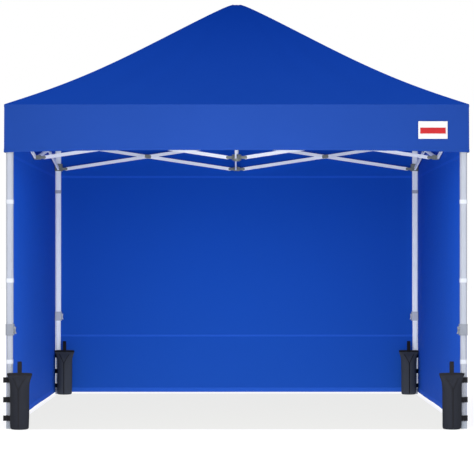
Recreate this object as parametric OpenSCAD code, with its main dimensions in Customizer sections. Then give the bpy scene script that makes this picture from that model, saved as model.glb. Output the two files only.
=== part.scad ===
// Pop up canopy: folding scissor frame, four telescoping legs, fabric roof, three walls, four weight bags.
// Millimetres. Origin on the floor under the centre post, X to the right, Y to the back, Z up.

/* [Frame] */
// Half the spacing of the legs, axis to centre
half_w = 1440; // [1300:5:1500]
// Height of the upper pivots above the floor
upper_z = 2015; // [1950:5:2060]
// Height of the lower pivots above the floor when open
lower_z = 1815; // [1780:5:1840]
// Pivot distance from a leg's axis and from the centre post's axis
leg_arm = 65; // [60:1:75]
// Pivot distance from a mid hub's centre
hub_arm = 55; // [50:1:60]
// Height of a scissor bar's section
bar_h = 25; // [20:1:26]
// Thickness of a scissor bar's section
bar_t = 12; // [10:1:12]

/* [Legs] */
// Width of the outer leg tube
outer_w = 44; // [40:1:44]
// Width of the inner leg tube
inner_w = 38; // [34:1:38]
// Height of the outer tube's lower end above the floor
outer_low = 592; // [570:1:600]
// Height of the outer tube's top
outer_top = 2040; // [2030:1:2045]
// Height of the inner tube's top end when the leg is fully extended
inner_top = 830; // [800:5:900]

/* [Covers] */
// Height of the roof's peak
peak_z = 2915; // [2800:5:3000]
// Height of the eave
eave_z = 2054; // [2050:1:2080]
// Height of the valance's lower edge
valance_z = 1766; // [1720:1:1790]
// Thickness of the roof cloth
cloth_t = 2.5; // [1.5:0.5:3]
// Height of the walls' lower hem
wall_z = 14; // [5:1:40]

/* [Weight bags] */
// Radius of a bag's round body
bag_r = 60; // [50:1:60]
// Height of a bag's round body
bag_h = 350; // [300:5:352]

/* [Hidden] */
$fn = 48;
gap = 0.5;
pin_r = 3;
fit = 0.05;
plane = (bar_t + 1) / 2;
cheek = 3.5;
span = half_w - leg_arm - hub_arm;
rise = upper_z - lower_z;
bar_len = sqrt(span * span + rise * rise);
tilt = atan2(rise, span);
wall_in = half_w + 25.5;
roof_in = wall_in + 3;
roof_out = roof_in + cloth_t;
sleeve_out = 24.5;
sleeve_in = 34;
grid = 16;
FRONT = [0, -half_w, 0];
BACK = [0, half_w, 0];
LEFT = [-half_w, 0, 0];
RIGHT = [half_w, 0, 0];
PLASTIC = [0.5, 0.52, 0.5];
WHITE = [0.85, 0.86, 0.92];
BLUE = [0.13, 0.3, 0.7];
CHARCOAL = [0.2, 0.21, 0.24];

// A bar lying along +X from a pivot at the origin, its bores along Y. side is where its neighbour lies.
module bar_shape(side, pinned) {
    rotate([90, 0, 0]) difference() {
        union() {
            translate([0, -bar_h / 2, -bar_t / 2]) cube([bar_len, bar_h, bar_t]);
            for (x = [0, bar_len]) translate([x, 0, -bar_t / 2]) cylinder(h = bar_t, d = bar_h);
        }
        for (x = [0, bar_len]) translate([x, 0, -bar_t]) cylinder(h = 2 * bar_t, r = pin_r + fit);
        if (!pinned) translate([bar_len / 2, 0, -bar_t]) cylinder(h = 2 * bar_t, r = pin_r + fit);
    }
    if (pinned) translate([bar_len / 2, 0, 0]) rotate([side > 0 ? -90 : 90, 0, 0]) {
        cylinder(h = bar_t * 1.5 + 1.4, r = pin_r);
        translate([0, 0, bar_t * 1.5 + 1.3]) pivot_plate();
        translate([0, 0, -bar_t / 2 - 3]) pivot_plate();
        translate([0, 0, bar_t * 1.5 + 1.3]) cylinder(h = 4.2, r = 2 * pin_r);
    }
}

// Plastic plate over a middle pivot, with cut corners.
module pivot_plate() linear_extrude(height = 3)
    polygon([[-25, -9], [-20, -14], [20, -14], [25, -9], [25, 9], [20, 14], [-20, 14], [-25, 9]]);

// A bar from (x0, z0) to x0 + span, rising or falling, in the plane y = off.
module placed_bar(x0, up, off, pinned) color(WHITE)
    translate([x0, off, up ? lower_z : upper_z]) rotate([0, up ? -tilt : tilt, 0])
        bar_shape(off > 0 ? -1 : 1, pinned);

// A bar of a side's truss, from its mid hub at p out to a leg. The rising bars carry the middle pin.
module side_bar(p, turn, up, off) translate(p) rotate([0, 0, turn]) placed_bar(hub_arm, up, off, up);

// A bar of the inner truss, from the centre out to a mid hub. The falling bars carry the middle pin.
module inner_bar(turn, up) rotate([0, 0, turn]) placed_bar(leg_arm, up, up ? -plane : plane, !up);

// A clevis with its pin at the origin along Y and its block toward -X.
module clevis(reach) {
    for (s = [-1, 1]) translate([0, s * (bar_t / 2 + gap + cheek / 2), 0]) {
        rotate([90, 0, 0]) cylinder(h = cheek, r = 11, center = true);
        translate([-reach / 2, 0, 0]) cube([reach, cheek, 20], center = true);
    }
    translate([-(reach + 15) / 2, 0, 0]) cube([reach - 15, bar_t + 2 * gap + 2 * cheek, 20], center = true);
    rotate([90, 0, 0]) cylinder(h = bar_t + 2 * gap + 2 * cheek + 3, r = pin_r, center = true);
    for (s = [-1, 1]) translate([0, s * (bar_t / 2 + gap + cheek + 0.9), 0])
        rotate([90, 0, 0]) cylinder(h = 2, r = 5, center = true);
}

// A square section with cut corners, by its full width.
module tube_section(w, cut) {
    h = w / 2;
    polygon([[h, h - cut], [h - cut, h], [cut - h, h], [-h, h - cut], [-h, cut - h], [cut - h, -h],
             [h - cut, -h], [h, cut - h]]);
}

// A block round the outer tube with its long sides inward, at +X and +Y.
module sleeve(z, h, cut) translate([0, 0, z]) linear_extrude(height = h) difference() {
    polygon([[sleeve_in, -sleeve_out + cut], [sleeve_in, sleeve_in - 8], [sleeve_in - 8, sleeve_in],
             [-sleeve_out + cut, sleeve_in], [-sleeve_out, sleeve_in - cut], [-sleeve_out, -sleeve_out + cut],
             [-sleeve_out + cut, -sleeve_out], [sleeve_in - cut, -sleeve_out]]);
    tube_section(outer_w + 0.2, outer_w * 0.2);
}

// Puts a leg part, drawn with the canopy's inside at +X +Y, at the leg on side (sx, sy).
module at_leg(sx, sy) translate([sx * half_w, sy * half_w, 0])
    mirror([sx > 0 ? 1 : 0, 0, 0]) mirror([0, sy > 0 ? 1 : 0, 0]) children();

// Outer tube, top bracket with two clevises, and height lock collar.
module outer_leg(sx, sy) at_leg(sx, sy) {
    color(WHITE) translate([0, 0, outer_low]) difference() {
        linear_extrude(height = outer_top - outer_low) difference() {
            tube_section(outer_w, outer_w * 0.2);
            tube_section(inner_w + 0.8, inner_w * 0.2);
        }
        for (i = [0 : 3]) translate([0, 0, 25 + i * 80]) rotate([0, 90, 0]) cylinder(h = outer_w, r = 4.5);
    }
    color(PLASTIC) {
        sleeve(upper_z - 28, 54, 5);
        translate([leg_arm, -plane, upper_z]) clevis(leg_arm - sleeve_in);
        translate([-plane, leg_arm, upper_z]) rotate([0, 0, 90]) clevis(leg_arm - sleeve_in);
        translate([0, 0, upper_z + 26]) linear_extrude(height = 4) tube_section(2 * sleeve_out, 5);
    }
    color([0.7, 0.71, 0.78]) {
        difference() {
            translate([0, 0, outer_low]) linear_extrude(height = 72) difference() {
                polygon([[27.5, -19], [27.5, 19], [19, 27.5], [-19, 27.5], [-24.5, 22], [-24.5, -19],
                         [-19, -24.5], [22, -24.5]]);
                tube_section(outer_w + 0.2, outer_w * 0.2);
            }
            translate([15, -5, 602]) cube([20, 10, 26]);
        }
        for (s = [-1, 1]) difference() {
            translate([26, s * 10.5 - 2, 633]) cube([11.5, 4, 14]);
            translate([33, 0, 640]) rotate([90, 0, 0]) cylinder(h = 40, r = 2 + fit, center = true);
        }
    }
}

// Thumb lever of the height lock, turning on its own pin.
module lock(sx, sy) at_leg(sx, sy) color([0.62, 0.64, 0.72]) {
    translate([33, 0, 640]) rotate([90, 0, 0]) {
        cylinder(h = 16, r = 3.5, center = true);
        cylinder(h = 25, r = 2, center = true);
        translate([0, 0, -7.5]) linear_extrude(height = 15)
            polygon([[-3, 0], [-3, -36], [8, -40], [8, -34], [3.4, -22], [3.4, 0]]);
    }
    translate([24, -4, 612]) cube([8, 8, 6]);
}

// Inner tube with its foot.
module inner_leg(sx, sy) at_leg(sx, sy) {
    color(WHITE) translate([0, 0, 46]) linear_extrude(height = inner_top - 46) difference() {
        tube_section(inner_w, inner_w * 0.2);
        tube_section(inner_w - 4, inner_w * 0.17);
    }
    color(PLASTIC) linear_extrude(height = 45.9) tube_section(outer_w, outer_w * 0.2);
}

// Sliding bracket on the outer tube.
module slider(sx, sy) at_leg(sx, sy) color(PLASTIC) {
    sleeve(lower_z - 18, 58, 5);
    translate([leg_arm, plane, lower_z]) clevis(leg_arm - sleeve_in);
    translate([plane, leg_arm, lower_z]) rotate([0, 0, 90]) clevis(leg_arm - sleeve_in);
}

// A hub half way along a side, drawn for the front: clevises left, right and inward.
module mid_hub(turn, z, off, inner_off) color(PLASTIC) rotate([0, 0, turn]) translate([0, -half_w, z]) {
    translate([-24, -sleeve_out + 8, -15]) cube([48, 44, 30]);
    translate([hub_arm, off, 0]) clevis(hub_arm - 22);
    translate([-hub_arm, off, 0]) rotate([0, 0, 180]) clevis(hub_arm - 22);
    translate([inner_off, hub_arm, 0]) rotate([0, 0, 90]) clevis(hub_arm - 26);
}

// A centre hub with four clevises and the post's bore.
module centre_hub(z, off) color(PLASTIC) translate([0, 0, z]) difference() {
    union() {
        cylinder(h = 40, r = 34, center = true);
        for (t = [0 : 90 : 270]) rotate([0, 0, t]) translate([leg_arm, off, 0]) clevis(leg_arm - 30);
    }
    cylinder(h = 60, r = 12.5 + fit, center = true);
}

// Centre post, carried by the lower hub, with a rounded tip under the peak.
module post() {
    color(WHITE) translate([0, 0, lower_z - 20]) cylinder(h = peak_z - 25 - lower_z + 20, r = 12.5);
    color(WHITE) translate([0, 0, peak_z - 25]) sphere(r = 12.5);
    color(PLASTIC) translate([0, 0, lower_z - 27]) cylinder(h = 6.9, r = 22);
}

// Height of the cloth's top side at a point, with sagging panels and a rounded peak.
// part_of runs from 0 at the peak to 1 at the eave, and across from 0 mid panel to 1 on a hip.
function part_of(x, y) = max(abs(x), abs(y)) / roof_out;
function across(x, y) = let (m = max(abs(x), abs(y))) m < 1 ? 0 : min(abs(x), abs(y)) / m;
function sag(u) = u >= 1 ? 0 : sin(180 * pow(u, 1.45));
function round_tip(u) = sqrt(u * u + 0.0007);
function top_z(x, y) = let (u = part_of(x, y), v = across(x, y))
    eave_z + (peak_z - eave_z) * (round_tip(1) - round_tip(u)) / (round_tip(1) - round_tip(0))
    - (46 + 14 * (1 - v * v)) * sag(u);

// Two triangles of the grid's cell whose first corner is a, split along its rising or its falling diagonal.
function cell(a, m, rising) = rising ? [[a, a + m, a + m + 1], [a, a + m + 1, a + 1]]
                                     : [[a, a + m, a + 1], [a + 1, a + m, a + m + 1]];

module roof() color(BLUE) {
    n = grid;
    s = [for (i = [-n : n]) roof_out * i / n];
    tops = [for (y = s) for (x = s) [x, y, top_z(x, y)]];
    low = [for (p = tops) [p[0] * roof_in / roof_out, p[1] * roof_in / roof_out, p[2] - cloth_t]];
    m = 2 * n + 1;
    k = m * m;
    rim = concat([for (i = [0 : m - 2]) i], [for (i = [0 : m - 2]) (i + 1) * m - 1],
                 [for (i = [m - 1 : -1 : 1]) (m - 1) * m + i], [for (i = [m - 1 : -1 : 1]) i * m]);
    r = len(rim);
    polyhedron(points = concat(tops, low,
            [for (i = rim) [tops[i][0], tops[i][1], valance_z]],
            [for (i = rim) [low[i][0], low[i][1], valance_z]]),
        faces = concat(
            [for (j = [0 : m - 2]) for (i = [0 : m - 2]) for (t = cell(j * m + i, m, (i < n) == (j < n))) t],
            [for (j = [0 : m - 2]) for (i = [0 : m - 2]) for (t = cell(j * m + i, m, (i < n) == (j < n)))
                [k + t[2], k + t[1], k + t[0]]],
            [for (i = [0 : r - 1]) let (a = i, b = (i + 1) % r) [rim[a], rim[b], 2 * k + b]],
            [for (i = [0 : r - 1]) let (a = i, b = (i + 1) % r) [rim[a], 2 * k + b, 2 * k + a]],
            [for (i = [0 : r - 1]) let (a = i, b = (i + 1) % r) [k + rim[b], k + rim[a], 2 * k + r + a]],
            [for (i = [0 : r - 1]) let (a = i, b = (i + 1) % r) [k + rim[b], 2 * k + r + a, 2 * k + r + b]],
            [for (i = [0 : r - 1]) let (a = i, b = (i + 1) % r) [2 * k + a, 2 * k + b, 2 * k + r + b]],
            [for (i = [0 : r - 1]) let (a = i, b = (i + 1) % r) [2 * k + a, 2 * k + r + b, 2 * k + r + a]]));
}

// A wall of plain cloth outside the legs, drawn for the back.
module wall(turn) color(BLUE) rotate([0, 0, turn])
    translate([-wall_in + 2, wall_in, wall_z]) cube([2 * wall_in - 4, 1.5, eave_z - 34 - wall_z]);

// A weight bag with a flat closed top, standing at x, y beside a foot.
module bag(x, y) color(CHARCOAL) translate([x, y, 0]) {
    cylinder(h = bag_h - 60, r = bag_r);
    translate([0, 0, bag_h - 60]) cylinder(h = 60, r1 = bag_r, r2 = 14, $fn = 32);
    translate([-80, -8, bag_h - 22]) cube([160, 16, 22]);
}

centre_hub(upper_z, plane);  // centre_up
centre_hub(lower_z, -plane);  // centre_low
post();
inner_bar(270, false);  // bar_if1
inner_bar(270, true);  // bar_if2
inner_bar(90, false);  // bar_ib1
inner_bar(90, true);  // bar_ib2
inner_bar(180, false);  // bar_il1
inner_bar(180, true);  // bar_il2
inner_bar(0, false);  // bar_ir1
inner_bar(0, true);  // bar_ir2
mid_hub(0, lower_z, -plane, plane);  // hub_f_low
mid_hub(0, upper_z, plane, -plane);  // hub_f_up
mid_hub(180, lower_z, -plane, plane);  // hub_b_low
mid_hub(180, upper_z, plane, -plane);  // hub_b_up
mid_hub(270, lower_z, -plane, plane);  // hub_l_low
mid_hub(270, upper_z, plane, -plane);  // hub_l_up
mid_hub(90, lower_z, -plane, plane);  // hub_r_low
mid_hub(90, upper_z, plane, -plane);  // hub_r_up
side_bar(FRONT, 180, true, plane);  // bar_f1
side_bar(FRONT, 180, false, -plane);  // bar_f2
side_bar(FRONT, 0, true, -plane);  // bar_f3
side_bar(FRONT, 0, false, plane);  // bar_f4
side_bar(BACK, 180, true, -plane);  // bar_b1
side_bar(BACK, 180, false, plane);  // bar_b2
side_bar(BACK, 0, true, plane);  // bar_b3
side_bar(BACK, 0, false, -plane);  // bar_b4
side_bar(LEFT, 270, true, -plane);  // bar_l1
side_bar(LEFT, 270, false, plane);  // bar_l2
side_bar(LEFT, 90, true, plane);  // bar_l3
side_bar(LEFT, 90, false, -plane);  // bar_l4
side_bar(RIGHT, 270, true, plane);  // bar_r1
side_bar(RIGHT, 270, false, -plane);  // bar_r2
side_bar(RIGHT, 90, true, -plane);  // bar_r3
side_bar(RIGHT, 90, false, plane);  // bar_r4
outer_leg(-1, -1);  // leg_fl
outer_leg(1, -1);  // leg_fr
outer_leg(-1, 1);  // leg_rl
outer_leg(1, 1);  // leg_rr
slider(-1, -1);  // slider_fl
slider(1, -1);  // slider_fr
slider(-1, 1);  // slider_rl
slider(1, 1);  // slider_rr
inner_leg(-1, -1);  // inner_leg_fl
inner_leg(1, -1);  // inner_leg_fr
inner_leg(-1, 1);  // inner_leg_rl
inner_leg(1, 1);  // inner_leg_rr
lock(-1, -1);  // lock_fl
lock(1, -1);  // lock_fr
lock(-1, 1);  // lock_rl
lock(1, 1);  // lock_rr
bag(-half_w + 70, -half_w - 62);  // bag_fl
bag(half_w - 80, -half_w - 48);  // bag_fr
bag(-half_w + 58, half_w - 68);  // bag_rl
bag(half_w - 58, half_w - 68);  // bag_rr
roof();
wall(0);  // wall_back
wall(90);  // wall_left
wall(270);  // wall_right
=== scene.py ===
"""A square pop up canopy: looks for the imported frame.

Lengths are in metres. The floor is at z = 0 and the open front faces -Y. Sides are named f, b, l and r,
and legs fl, fr, rl and rr, as in the frame's own node names.
"""
import math

import bpy
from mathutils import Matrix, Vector


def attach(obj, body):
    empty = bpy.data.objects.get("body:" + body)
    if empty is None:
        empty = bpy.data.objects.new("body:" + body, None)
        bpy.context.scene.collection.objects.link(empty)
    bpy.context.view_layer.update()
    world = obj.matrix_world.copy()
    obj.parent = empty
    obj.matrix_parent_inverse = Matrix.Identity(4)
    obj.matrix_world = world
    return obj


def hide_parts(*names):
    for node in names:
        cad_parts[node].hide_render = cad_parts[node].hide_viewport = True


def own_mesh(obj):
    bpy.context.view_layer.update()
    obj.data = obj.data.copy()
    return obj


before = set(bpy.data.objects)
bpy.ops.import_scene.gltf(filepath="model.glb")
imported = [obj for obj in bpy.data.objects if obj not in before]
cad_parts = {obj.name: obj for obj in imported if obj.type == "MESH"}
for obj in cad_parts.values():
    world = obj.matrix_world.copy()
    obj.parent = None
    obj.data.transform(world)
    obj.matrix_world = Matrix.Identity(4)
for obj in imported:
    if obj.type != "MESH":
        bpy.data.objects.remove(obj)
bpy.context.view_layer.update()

HALF = 1.44         # leg axes, from the middle
ROOF = 1.471        # half width of the roof
EAVE = 2.054        # edge of the roof
PEAK = 2.915
LOW = 1.766         # lower edge of the valances
WALL = 1.4662       # a wall's distance from the middle
WALL_HALF = 1.4635  # half width of a wall
WALL_FRONT = 1.41   # a side wall's front edge stays behind the leg it is tied to
WALL_FOOT, WALL_HEAD = 0.014, 2.02

OUT = {"f": (0, -1), "b": (0, 1), "l": (-1, 0), "r": (1, 0)}
LEGS = {"fl": (-1, -1), "fr": (1, -1), "rl": (-1, 1), "rr": (1, 1)}
BAG_AT = {"fl": (0.070, -0.062), "fr": (-0.080, -0.048), "rl": (0.058, -0.068), "rr": (-0.058, -0.068)}


# ---- materials

def nodes_of(name):
    m = bpy.data.materials.new(name)
    m.use_nodes = True
    t = m.node_tree
    return m, t, t.nodes["Principled BSDF"], t.nodes.new("ShaderNodeTexCoord")


def mixed(t, fac, a, b):
    n = t.nodes.new("ShaderNodeMix")
    n.data_type = "RGBA"
    t.links.new(fac, n.inputs[0])
    n.inputs[6].default_value = (*a, 1)
    n.inputs[7].default_value = (*b, 1)
    return n.outputs[2]


def noise(t, tc, scale, detail=3.0, rough=0.5):
    n = t.nodes.new("ShaderNodeTexNoise")
    n.inputs["Scale"].default_value = scale
    n.inputs["Detail"].default_value = detail
    n.inputs["Roughness"].default_value = rough
    t.links.new(tc.outputs["Object"], n.inputs["Vector"])
    return n.outputs["Fac"]


def bump(t, bsdf, height, strength, distance, before=None):
    b = t.nodes.new("ShaderNodeBump")
    b.inputs["Strength"].default_value = strength
    b.inputs["Distance"].default_value = distance
    t.links.new(height, b.inputs["Height"])
    if before:
        t.links.new(before, b.inputs["Normal"])
    t.links.new(b.outputs["Normal"], bsdf.inputs["Normal"])
    return b.outputs["Normal"]


def ramp(t, fac, lo, hi):
    r = t.nodes.new("ShaderNodeMapRange")
    r.inputs["To Min"].default_value = lo
    r.inputs["To Max"].default_value = hi
    t.links.new(fac, r.inputs["Value"])
    return r.outputs["Result"]


def math_node(t, operation):
    n = t.nodes.new("ShaderNodeMath")
    n.operation = operation
    return n


def cloth(name, dark, light, thread=900.0, sheen=0.03, rough=0.78, heights=None, shine=0.08):
    """Woven cloth: crossed thread waves, faint creases and a soft colour change.

    With heights, a pair of levels, the colour goes from dark at the first to light at the second: painted
    light and shade by height.
    """
    patches = 0.15      # share of the colour change left to the noise where heights is given
    m, t, bsdf, tc = nodes_of(name)
    share = noise(t, tc, 2.2, 4.0)
    # with heights the colour follows the height, painted light and shade
    if heights:
        xyz = t.nodes.new("ShaderNodeSeparateXYZ")
        t.links.new(tc.outputs["Object"], xyz.inputs[0])
        rise = ramp(t, xyz.outputs["Z"], 0.0, 1 - patches)
        rise.node.inputs["From Min"].default_value, rise.node.inputs["From Max"].default_value = heights
        both = math_node(t, "MULTIPLY_ADD")
        both.inputs[1].default_value = patches
        t.links.new(share, both.inputs[0])
        t.links.new(rise, both.inputs[2])
        share = both.outputs[0]
    t.links.new(mixed(t, share, dark, light), bsdf.inputs["Base Color"])

    weave = None
    for axis in "XYZ":
        w = t.nodes.new("ShaderNodeTexWave")
        w.bands_direction = axis
        w.inputs["Scale"].default_value = thread / 3
        t.links.new(tc.outputs["Object"], w.inputs["Vector"])
        if weave is None:
            weave = w.outputs["Fac"]
            continue
        a = math_node(t, "ADD")
        t.links.new(weave, a.inputs[0])
        t.links.new(w.outputs["Fac"], a.inputs[1])
        weave = a.outputs[0]
    threads = bump(t, bsdf, weave, 0.25, 0.0003)
    bump(t, bsdf, noise(t, tc, 9.0, 5.0, 0.6), 0.12, 0.004, threads)
    t.links.new(ramp(t, noise(t, tc, 40.0), rough - 0.08, rough + 0.1), bsdf.inputs["Roughness"])
    bsdf.inputs["Sheen Weight"].default_value = sheen
    bsdf.inputs["Sheen Roughness"].default_value = 0.6
    bsdf.inputs["Sheen Tint"].default_value = (*light, 1)
    bsdf.inputs["Specular IOR Level"].default_value = shine
    return m


def coated(name, dark, light, rough=0.38, lift=0.0):
    """Powder coated metal with handling marks. lift adds a little light of its own in the shaded inside."""
    m, t, bsdf, tc = nodes_of(name)
    t.links.new(mixed(t, noise(t, tc, 14.0, 4.0), dark, light), bsdf.inputs["Base Color"])
    t.links.new(ramp(t, noise(t, tc, 60.0), rough - 0.08, rough + 0.12), bsdf.inputs["Roughness"])
    bump(t, bsdf, noise(t, tc, 900.0, 2.0), 0.12, 0.0004)
    bsdf.inputs["Coat Weight"].default_value = 0.15
    bsdf.inputs["Emission Color"].default_value = (0.75, 0.87, 1.0, 1)
    bsdf.inputs["Emission Strength"].default_value = lift
    return m


def plastic(name, dark, light, rough=0.5):
    """Moulded plastic: fine grain, uneven sheen."""
    m, t, bsdf, tc = nodes_of(name)
    t.links.new(mixed(t, noise(t, tc, 30.0, 3.0), dark, light), bsdf.inputs["Base Color"])
    t.links.new(ramp(t, noise(t, tc, 120.0), rough - 0.1, rough + 0.12), bsdf.inputs["Roughness"])
    bump(t, bsdf, noise(t, tc, 1600.0, 2.0, 0.7), 0.2, 0.0003)
    return m


ROOF_SHADE_LEVELS, WALL_LIGHT_LEVELS = (2.05, 2.92), (0.0, 2.0)

# the canopy's blue cloth
# the roof and its hip tapes are painted darker towards the peak, a painted shade
ROOF_M = cloth("roof weave", (0.0066, 0.0441, 0.303), (0.0019, 0.0262, 0.245),
               sheen=0.0, heights=ROOF_SHADE_LEVELS, shine=0.0)
HEM_M = cloth("roof seam tape", (0.0080, 0.050, 0.33), (0.0028, 0.031, 0.265),
              1200.0, 0.0, heights=ROOF_SHADE_LEVELS, shine=0.0)
VAL_M = cloth("valance weave", (0.0080, 0.0345, 0.190), (0.0096, 0.0385, 0.210), sheen=0.0, shine=0.03)
# the walls' insides carry painted light: the colour changes with height, and the side walls are a copy
# painted lighter than the back wall
WALL_M = cloth("wall weave", (0.0116, 0.0755, 0.42), (0.0062, 0.075, 0.50),
               sheen=0.0, heights=WALL_LIGHT_LEVELS, shine=0.03)
LIT_SIDE_M = cloth("side wall weave painted lighter", (0.0155, 0.084, 0.455), (0.0085, 0.086, 0.560),
               sheen=0.0, heights=WALL_LIGHT_LEVELS, shine=0.03)
OUTER_M = cloth("wall weave outside", (0.0072, 0.040, 0.252), (0.0092, 0.0445, 0.272), sheen=0.0, shine=0.03)
# the wall tapes are painted lighter than their wall, a painted highlight
SEAM_HIGHLIGHT_M = cloth("seam tape", (0.020, 0.098, 0.52), (0.012, 0.099, 0.61),
               1200.0, 0.0, heights=WALL_LIGHT_LEVELS, shine=0.03)

# bags, webbing, ties and the patch
BAG_M = cloth("bag nylon", (0.008, 0.009, 0.013), (0.020, 0.022, 0.029), 700.0, 0.02, 0.8, shine=0.06)
# the rear bags are a copy of the bag nylon painted lighter, for the lit inside
LIT_REAR_BAG_M = cloth("rear bag nylon painted lighter", (0.032, 0.037, 0.046), (0.055, 0.062, 0.076),
                   700.0, 0.03, 0.8, shine=0.1)
WEB_M = cloth("black webbing", (0.006, 0.006, 0.008), (0.014, 0.014, 0.017), 1500.0, 0.05, 0.8)
TIE_M = cloth("white tie", (0.38, 0.40, 0.45), (0.46, 0.48, 0.54), 1200.0, 0.05, 0.7)
LABEL_M = cloth("patch white", (0.44, 0.43, 0.44), (0.50, 0.49, 0.50), 1400.0, 0.1, 0.6)
RED_M = cloth("patch red", (0.28, 0.010, 0.014), (0.34, 0.018, 0.022), 1400.0, 0.1, 0.6)

# the frame; the rear parts are painted lighter than the front ones, because the inside is evenly lit; the
# rear legs, the trusses and the post also get a painted glow
LEG_M = coated("leg coat", (0.218, 0.238, 0.288), (0.26, 0.28, 0.338))
LIT_REAR_M = coated("rear leg coat painted lighter", (0.74, 0.76, 0.80), (0.84, 0.86, 0.90), lift=0.13)
# the trusses and post are painted lighter than the legs, with a painted glow
LIT_BAR_M = coated("truss coat painted lighter", (0.78, 0.80, 0.84), (0.88, 0.89, 0.93), lift=0.12)
GREY_M = plastic("olive grey plastic", (0.16, 0.18, 0.16), (0.23, 0.25, 0.23))
COLLAR_M = plastic("collar plastic", (0.115, 0.130, 0.165), (0.165, 0.180, 0.215))
# the rear collars and locks: the collar plastic painted lighter
LIT_REAR_COLLAR_M = plastic("rear collar plastic painted lighter", (0.42, 0.45, 0.50), (0.52, 0.55, 0.60))
FOOT_M = plastic("foot plastic", (0.22, 0.25, 0.31), (0.30, 0.33, 0.38))

# where each frame part changes material
LEG_SKIN = 0.0222       # faces further than this from a leg's axis are on its bracket or collar
BRACKET_Z = 1.98        # brackets are above this
CAP_Z = 2.0395          # and cover the tube's end from here
COLLAR_Z = 0.67         # collars are below this
FOOT_Z = 0.046          # foot caps are below this
BAR_SKIN = 0.0128       # faces further than this from a bar's middle plane are on its rivets
POST_NUT_Z = 1.794      # the post's lower end is below this


def dress(me, mats, pick):
    """Gives the mesh its materials, and each face the one that pick(face centre) names."""
    for m in mats:
        me.materials.append(m)
    for p in me.polygons:
        p.material_index = pick(p.center)


def leg_part(leg):
    sx, sy = LEGS[leg]

    def pick(c):
        outside = max(abs(c.x - sx * HALF), abs(c.y - sy * HALF)) > LEG_SKIN
        if c.z > BRACKET_Z and (outside or c.z > CAP_Z):
            return 1
        return 2 if c.z < COLLAR_Z and outside else 0
    return pick


def bar_part(name):
    """The inner bars run along x = 0 or y = 0, the others along the line of the legs."""
    inner = name[4] == "i"
    by_y = name[5] in "lr" if inner else name[4] in "fb"
    line = 0 if inner else HALF
    return lambda c: int(abs(abs(c.y if by_y else c.x) - line) > BAR_SKIN)


# rear legs, inner legs, collars and locks get the copies painted lighter
for name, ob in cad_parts.items():
    me = ob.data
    me.materials.clear()
    if name.startswith("leg_"):
        coats = (LIT_REAR_M, GREY_M, LIT_REAR_COLLAR_M) if name[4] == "r" else (LEG_M, GREY_M, COLLAR_M)
        dress(me, coats, leg_part(name[4:]))
    elif name.startswith("inner_leg_"):
        dress(me, (LIT_REAR_M if name[10] == "r" else LEG_M, FOOT_M), lambda c: int(c.z < FOOT_Z))
    elif name.startswith("bar_"):
        # the bars and the post get the truss coat painted lighter, with a painted glow
        dress(me, (LIT_BAR_M, GREY_M), bar_part(name))
    elif name == "post":
        dress(me, (LIT_BAR_M, GREY_M), lambda c: int(c.z < POST_NUT_Z))
    elif name.startswith(("hub_", "slider_", "centre_")):
        me.materials.append(GREY_M)
    elif name.startswith("lock_"):
        me.materials.append(LIT_REAR_COLLAR_M if name[5] == "r" else COLLAR_M)
    else:
        me.materials.append(WALL_M)


# ---- mesh helpers

CRISP = math.radians(50)    # edges sharper than this are not smoothed over


def make(name, verts, faces, mat, body, thick=0.0, offset=-1.0):
    me = bpy.data.meshes.new(name)
    me.from_pydata([tuple(v) for v in verts], [], faces)
    me.materials.append(mat)
    me.polygons.foreach_set("use_smooth", [True] * len(me.polygons))
    me.update()
    ob = bpy.data.objects.new(name, me)
    bpy.context.scene.collection.objects.link(ob)
    if thick:
        solid = ob.modifiers.new("thick", "SOLIDIFY")
        solid.thickness = thick
        solid.offset = offset
        ob.modifiers.new("crisp", "EDGE_SPLIT").split_angle = CRISP
    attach(ob, body)
    return ob


def quads(nx, ny, w, around=False):
    """The quads between ny + 1 rows of w points. around joins the end of each row to its start."""
    def at(i, j):
        return j * w + (i % w if around else i)
    return [(at(i, j), at(i + 1, j), at(i + 1, j + 1), at(i, j + 1)) for j in range(ny) for i in range(nx)]


def grid(nx, ny, f):
    """Vertices f(a, b) with a and b from 0 to 1, and the quads between them."""
    verts = [f(i / nx, j / ny) for j in range(ny + 1) for i in range(nx + 1)]
    return verts, quads(nx, ny, nx + 1)


def turned(faces, flip):
    return [tuple(reversed(f)) for f in faces] if flip else faces


def on_side(o, d, out, along, z):
    """A point a distance out towards o and along towards d."""
    return (o[0] * out + d[0] * along, o[1] * out + d[1] * along, z)


# ---- roof
# Half panels meet at the hips and down each middle. Each rides on the bar under it, and the valances on the
# upper hubs.

TAPE = 0.0011       # how far a sewn tape stands off its cloth
HEM_HIGH, BAND_HIGH = 0.022, 0.016
CORNER_DROP = 0.014     # the valances hang this much lower at the corners
HIP_WIDE = 0.009


def tip(u):
    """Distance from the peak, rounded over the centre post."""
    return math.sqrt(u * u + 0.0007)


def sag(u):
    """How much of the sag the cloth has at u, from 0 at the peak and the edge."""
    return 0.0 if u >= 1 else math.sin(math.pi * u ** 1.45)


def roof_z(u, v):
    """Height of the roof at u from peak to edge and v from a panel's middle to its hip."""
    rise = (tip(1) - tip(u)) / (tip(1) - tip(0))
    return EAVE + (PEAK - EAVE) * rise - (0.046 + 0.014 * (1 - v * v)) * sag(u)


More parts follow.
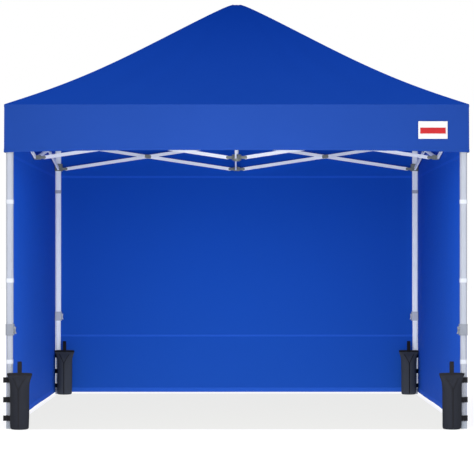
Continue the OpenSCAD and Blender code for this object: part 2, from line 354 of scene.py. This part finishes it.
def roof_half(side, s):
    """One half of a roof panel: s is -1 for the half at the side's start and 1 for the other."""
    o = OUT[side]
    d = (s, 0) if side in "fb" else (0, s)
    half = "a" if s < 0 else "b"
    bar = f"bar_{side}{1 if s < 0 else 3}"
    hub = f"hub_{side}_up"
    flip = (o[0] * d[1] - o[1] * d[0]) < 0

    def on_roof(v, u):
        pull = 0.0035 * math.sin(7 * math.pi * v) * math.sin(math.pi * v) * u * sag(u)
        pull += 0.009 * math.sin(math.pi * v) ** 2 * math.sin(15 * v + 9 * u) * (1 - u) * u
        return on_side(o, d, ROOF * u, ROOF * u * v, roof_z(u, v) + pull + 0.0006)

    steps, rows = 24, 44
    verts = [on_roof(0, 0)]
    for j in range(1, rows + 1):
        verts += [on_roof(i / steps, j / rows) for i in range(steps + 1)]
    faces = [(0, 1 + i, 2 + i) for i in range(steps)]
    for j in range(rows - 1):
        a = 1 + j * (steps + 1)
        faces += [(a + i, a + steps + 1 + i, a + steps + 2 + i, a + i + 1) for i in range(steps)]
    panel = make(f"roof_{side}_{half}", verts, turned(faces, flip), ROOF_M, bar, thick=0.0012)
    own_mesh(panel)
    if (side, half) == ("f", "a"):
        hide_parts("roof")

    def skirt(name, verts, faces, thick):
        p = make(name, verts, turned(faces, not flip), VAL_M, hub, thick=thick)
        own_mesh(p)

    top = EAVE - 0.001

    def on_valance(a, b, out=0.0):
        wave = (0.0016 * math.sin(3.5 * math.pi * a) ** 2 + 0.0018 * math.sin(math.pi * a) ** 2) * b
        z = top + (LOW - top) * b - CORNER_DROP * b * a ** 3
        return on_side(o, d, ROOF + wave + out + 0.001, ROOF * a, z)

    def on_tape(z0, z1, drop):
        level = (EAVE - (z0 + z1) / 2) / (EAVE - LOW)

        def point(a, b):
            x, y, _ = on_valance(a, level, TAPE)
            return (x, y, z0 + (z1 - z0) * b - drop * a ** 3)
        return point

    skirt(f"valance_{side}_{half}", *grid(30, 8, on_valance), 0.0014)
    skirt(f"valance_hem_{side}_{half}", *grid(30, 2, on_tape(LOW + HEM_HIGH, LOW, CORNER_DROP)), 0.001)
    skirt(f"valance_band_{side}_{half}", *grid(30, 2, on_tape(EAVE + 0.001, EAVE - BAND_HIGH, 0)), 0.001)

    def on_hip(a, b):
        """Half of the tape along the hip, from just below the peak."""
        u = 0.02 + 0.98 * a
        v = 1 - b * HIP_WIDE / u
        return on_side(o, d, ROOF * u, ROOF * u * v, roof_z(u, v) + 0.0024 - 0.0012 * b)

    verts, faces = grid(44, 2, on_hip)
    hip = make(f"hip_{side}_{half}", verts, turned(faces, flip), HEM_M, bar, thick=0.001)
    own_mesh(hip)


for side in OUT:
    for s in (-1, 1):
        roof_half(side, s)


# ---- plain patch on the front valance, with a red band

def patch(name, x0, x1, z0, z1, out, mat):
    verts, faces = grid(6, 4, lambda a, b: (x0 + (x1 - x0) * a, -(ROOF + out), z0 + (z1 - z0) * b))
    p = make(name, verts, faces, mat, "hub_f_up", thick=0.0008)
    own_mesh(p)


patch("patch", 1.150, 1.335, 1.837, 1.948, 0.0065, LABEL_M)
patch("patch_band", 1.162, 1.323, 1.870, 1.908, 0.0078, RED_M)


# ---- walls

WALL_TAPES = (("seam", 0.462, 0.478), ("hem", WALL_FOOT, 0.050), ("head", 1.744, 1.762))


def wall_cover(side, node, main):
    o = OUT[side]
    d = (1, 0) if side == "b" else (0, 1)
    start = -WALL_HALF if side == "b" else -WALL_FRONT

    def hang(p):
        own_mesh(p)

    def on_wall(a, b, out=0.0):
        """Cloth with slack that fades towards the head and the sides."""
        x = start + (WALL_HALF - start) * a
        z = WALL_FOOT + (WALL_HEAD - WALL_FOOT) * b
        slack = 1 - (z - WALL_FOOT) / 2.0
        fold = 0.003 * math.sin(x * 5.2 + 1.3 * math.sin(z * 2.1)) * slack
        fold += 0.0012 * math.sin(x * 17 + z * 5)
        fold += 0.0016 * math.sin(z * 15 + 1.6 * math.sin(x * 2.7)) * slack ** 2
        fold *= min(1, (1 - abs(2 * a - 1)) * 8)
        return on_side(o, d, WALL + fold * 0.6 - 0.0004 + out, x, z)

    def on_tape(z0, z1):
        level = ((z0 + z1) / 2 - WALL_FOOT) / (WALL_HEAD - WALL_FOOT)

        def point(a, b):
            x, y, _ = on_wall(a, level, -0.0010)
            return (x, y, z0 + (z1 - z0) * b)
        return point

    verts, faces = grid(72, 40, on_wall)
    wall = make(node + "_cloth", verts, turned(faces, side == "r"), main, f"hub_{side}_up",
                thick=0.0012, offset=0)
    wall.data.materials.append(OUTER_M)
    wall.modifiers["thick"].material_offset = 1
    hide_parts(node)
    hang(wall)
    for tag, z0, z1 in WALL_TAPES:
        # tapes other than the side walls' seams get the painted highlight
        mat = LIT_SIDE_M if side != "b" and tag == "seam" else SEAM_HIGHLIGHT_M
        hang(make(f"{node}_{tag}", *grid(72, 1, on_tape(z0, z1)), mat, f"hub_{side}_up",
                  thick=0.0006, offset=0))


wall_cover("b", "wall_back", WALL_M)
# the side walls get the cloth painted lighter
wall_cover("l", "wall_left", LIT_SIDE_M)
wall_cover("r", "wall_right", LIT_SIDE_M)


# ---- ties, bags and straps

FRONT_TIES, REAR_TIES = (1.44, 0.94, 0.425), (1.63,)
TIE_HIGH = 0.026
OUTER_TIE, INNER_TIE = 0.0224, 0.0193   # half widths, just clear of the outer and the inner tube
COLLAR_BOTTOM = 0.55                    # ties below this are on the inner tube

# a bag's outline: height, and half widths sideways and front to back. It narrows to a flat closed top
BAG_OUTLINE = [
    (0.0, 0.050, 0.050), (0.004, 0.056, 0.056), (0.014, 0.0595, 0.0595), (0.05, 0.060, 0.060),
    (0.10, 0.0605, 0.0605), (0.16, 0.0600, 0.0600), (0.21, 0.0605, 0.0600), (0.255, 0.0605, 0.0585),
    (0.285, 0.0620, 0.052), (0.305, 0.066, 0.041), (0.322, 0.072, 0.026), (0.333, 0.076, 0.013),
    (0.341, 0.078, 0.006), (0.350, 0.079, 0.0042), (0.358, 0.0795, 0.0036)]
BAG_SIDES = 48
BAG_FRONT = -math.pi / 2
PIPING_OUT = 0.0016         # how far the piping stands off the bag
STRAP_AT = (0.068, 0.185, 0.310)
STRAP_RADIUS, STRAP_WIDE = 0.0232, 0.034


def tie_ring(cx, cy, half, z, name, body):
    """A flat band round a square tube with rounded corners."""
    corner = 0.008
    pts = []
    for k, (sx, sy) in enumerate(((1, 1), (-1, 1), (-1, -1), (1, -1))):
        for i in range(5):
            t = math.pi / 2 * (k + i / 4)
            pts.append((cx + sx * (half - corner) + corner * math.cos(t),
                        cy + sy * (half - corner) + corner * math.sin(t)))
    verts = [(x, y, z + TIE_HIGH * (j / 2 - 0.5)) for j in range(3) for x, y in pts]
    faces = quads(len(pts), 2, len(pts), around=True)
    return make(name, verts, faces, TIE_M, body, thick=0.0012, offset=1.0)


def strip(name, path, wide, body, thick=0.0012):
    """A flat strip of webbing along a path of (point, sideways) pairs."""
    verts = []
    for p, q in path:
        verts += [Vector(p) - Vector(q) * wide / 2, Vector(p) + Vector(q) * wide / 2]
    faces = [(2 * i, 2 * i + 1, 2 * i + 3, 2 * i + 2) for i in range(len(path) - 1)]
    make(name, verts, faces, WEB_M, body, thick=thick, offset=0)


def ties(leg):
    sx, sy = LEGS[leg]
    x, y = sx * HALF, sy * HALF
    for k, z in enumerate(REAR_TIES if sy > 0 else FRONT_TIES):
        if z < COLLAR_BOTTOM:
            tie = tie_ring(x, y, INNER_TIE, z, f"tie_{leg}_{k}", "foot_" + leg)
            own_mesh(tie)
        else:
            tie_ring(x, y, OUTER_TIE, z, f"tie_{leg}_{k}", "leg_" + leg)


def bag(leg):
    """A round filled body with piping down its front, a pinched closed top and a handle."""
    sx, sy = LEGS[leg]
    bx, by = sx * HALF + BAG_AT[leg][0], sy * HALF + BAG_AT[leg][1]
    foot = "foot_" + leg

    verts = []
    for z, rx, ry in BAG_OUTLINE:
        for i in range(BAG_SIDES):
            t = 2 * math.pi * i / BAG_SIDES
            slump = 0.0016 * math.sin(3 * t + 9 * z + sx) + 0.0012 * math.sin(5 * t - 40 * z + sy)
            slump *= min(1, z / 0.03) * max(0.0, 1 - z / 0.36)
            off_front = abs((t + math.pi) % (2 * math.pi) - math.pi * 0.5)
            pinch = max(0.0, 1 - off_front * 5) * max(0.0, min(1, (z - 0.2) / 0.08)) * (z < 0.33)
            k = 1 + (slump - 0.005 * pinch) / 0.06
            verts.append((bx + rx * k * math.cos(t), by + ry * k * math.sin(t), z + 0.0005))
    last = len(BAG_OUTLINE) - 1
    faces = quads(BAG_SIDES, last, BAG_SIDES, around=True)
    faces += [tuple(range(BAG_SIDES - 1, -1, -1)), tuple(last * BAG_SIDES + i for i in range(BAG_SIDES))]
    # the rear bags get the nylon painted lighter
    body = make(f"bag_{leg}_body", verts, faces, LIT_REAR_BAG_M if sy > 0 else BAG_M, foot)
    smooth = body.modifiers.new("smooth", "SUBSURF")
    smooth.levels = smooth.render_levels = 1
    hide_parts("bag_" + leg)

    def skin(t, z):
        """A point just off the bag's skin at angle t and height z."""
        for (z0, rx0, ry0), (z1, rx1, ry1) in zip(BAG_OUTLINE, BAG_OUTLINE[1:]):
            if z0 <= z <= z1:
                w = (z - z0) / (z1 - z0)
                rx, ry = rx0 + (rx1 - rx0) * w + PIPING_OUT, ry0 + (ry1 - ry0) * w + PIPING_OUT
        return Vector((bx + rx * math.cos(t), by + ry * math.sin(t), z))

    seam = [(skin(BAG_FRONT, 0.012 + 0.02 * i), (1, 0, 0)) for i in range(13)]
    strip(f"bag_{leg}_seam", seam, 0.006, foot)
    for s, tag in ((-1, "a"), (1, "b")):
        fork = [(skin(BAG_FRONT + s * 0.55 * (i / 8), 0.252 + 0.072 * i / 8), (0.8, 0, -s * 0.6))
                for i in range(9)]
        strip(f"bag_{leg}_fork_{tag}", fork, 0.004, foot)

    handle = [(bx, by - 0.0062, 0.335)]
    for i in range(21):
        t = math.pi * (1.25 - 1.5 * i / 20)
        handle.append((bx, by + 0.0105 * math.cos(t), 0.388 + 0.040 * math.sin(t)))
    handle.append((bx, by + 0.0062, 0.335))
    strip(f"bag_{leg}_handle", [(p, (1, 0, 0)) for p in handle], 0.026, foot, 0.0022)
    top = [((bx + 0.0795 * (i / 5 - 1), by - 0.0055, 0.348), (0, 0, 1)) for i in range(11)]
    strip(f"bag_{leg}_closure", top, 0.014, foot)


def straps(leg):
    """Straps that tie the bag to the leg, open where they meet the bag. The front ones show loose ends."""
    sx, sy = LEGS[leg]
    x, y = sx * HALF, sy * HALF
    dx, dy = BAG_AT[leg]
    length = math.hypot(dx, dy)
    ux, uy = dx / length, dy / length
    reach = length - 0.03

    def at(towards, across):
        """A point this far from the leg's axis towards the bag, and across."""
        return (x + ux * towards - uy * across, y + uy * towards + ux * across)

    turns = [math.pi / 2 + math.pi * i / 16 for i in range(17)]
    path = [at(STRAP_RADIUS * math.cos(t), STRAP_RADIUS * math.sin(t)) for t in turns]
    path = [at(reach, STRAP_RADIUS)] + path + [at(reach, -STRAP_RADIUS)]
    for k, z in enumerate(STRAP_AT):
        verts = [(px, py, z + STRAP_WIDE * (j - 0.5)) for j in range(2) for px, py in path]
        make(f"bag_{leg}_strap_{k}", verts, quads(len(path) - 1, 1, len(path)), WEB_M, "foot_" + leg,
             thick=0.0012, offset=1.0)
        if sy < 0:
            step = 0.0145 if sx < 0 else 0.007
            end = [((x + sx * (0.010 + step * i), y - 0.0256 - 0.001 * i, z), (0, 0, 1)) for i in range(3)]
            strip(f"bag_{leg}_strap_end_{k}", end, STRAP_WIDE, "foot_" + leg, 0.0024)


for leg in LEGS:
    ties(leg)
    bag(leg)
    straps(leg)


# ---- stage, light and camera

def ground(name, x0, x1, y0, y1, z, colour, rough, shine, glow, strength):
    """A flat part of the stage that also gives off light."""
    me = bpy.data.meshes.new(name)
    me.from_pydata([(x0, y0, z), (x1, y0, z), (x1, y1, z), (x0, y1, z)], [], [(0, 1, 2, 3)])
    ob = bpy.data.objects.new(name, me)
    bpy.context.scene.collection.objects.link(ob)
    m, _, bsdf, _ = nodes_of("studio " + name)
    bsdf.inputs["Base Color"].default_value = (*colour, 1)
    bsdf.inputs["Roughness"].default_value = rough
    bsdf.inputs["Specular IOR Level"].default_value = shine
    bsdf.inputs["Emission Color"].default_value = (*glow, 1)
    bsdf.inputs["Emission Strength"].default_value = strength
    me.materials.append(m)


def area(name, at, to, size, power):
    light = bpy.data.lights.new(name, "AREA")
    light.energy = power
    light.size = size
    ob = bpy.data.objects.new(name, light)
    bpy.context.scene.collection.objects.link(ob)
    ob.location = at
    ob.rotation_euler = (Vector(to) - Vector(at)).to_track_quat("-Z", "Y").to_euler()


ground("floor", -60, 60, -60, 60, 0, (0.2, 0.2, 0.2), 0.9, 0.5, (1, 1, 1), 0.80)
# a painted shadow: the floor under the canopy is a sheet a shade darker than the studio
ground("shade", -1.44, 1.44, -1.50, 1.46, 0.0004, (0.04, 0.04, 0.036), 0.95, 0.0, (1, 1, 0.985), 0.81)

world = bpy.data.worlds.new("studio")
bpy.context.scene.world = world
world.use_nodes = True
background = world.node_tree.nodes["Background"]
background.inputs[0].default_value = (1, 1, 1, 1)
background.inputs[1].default_value = 1.0

area("inner", (0, -3.2, 1.0), (0, 1.4, 1.2), 2.2, 62)
area("key", (-3, -11, 5), (0, 0, 1.2), 5, 190)
area("fill left", (-4, -10, 2.0), (0, 0.5, 1.0), 5, 120)
area("fill right", (4, -10, 2.2), (0, 0.5, 1.0), 5, 205)
bpy.context.scene.view_settings.view_transform = "Standard"

lens = bpy.data.cameras.new("camera")
lens.lens, lens.sensor_width = 127.0, 36.0
lens.shift_x, lens.shift_y = 0.0008, 0.0612
lens.clip_end = 200
camera = bpy.data.objects.new("camera", lens)
camera.location = (0, -12.06, 1.032)
camera.rotation_euler = (math.pi / 2, 0, 0)
bpy.context.scene.collection.objects.link(camera)
bpy.context.scene.camera = camera

bpy.context.view_layer.update()
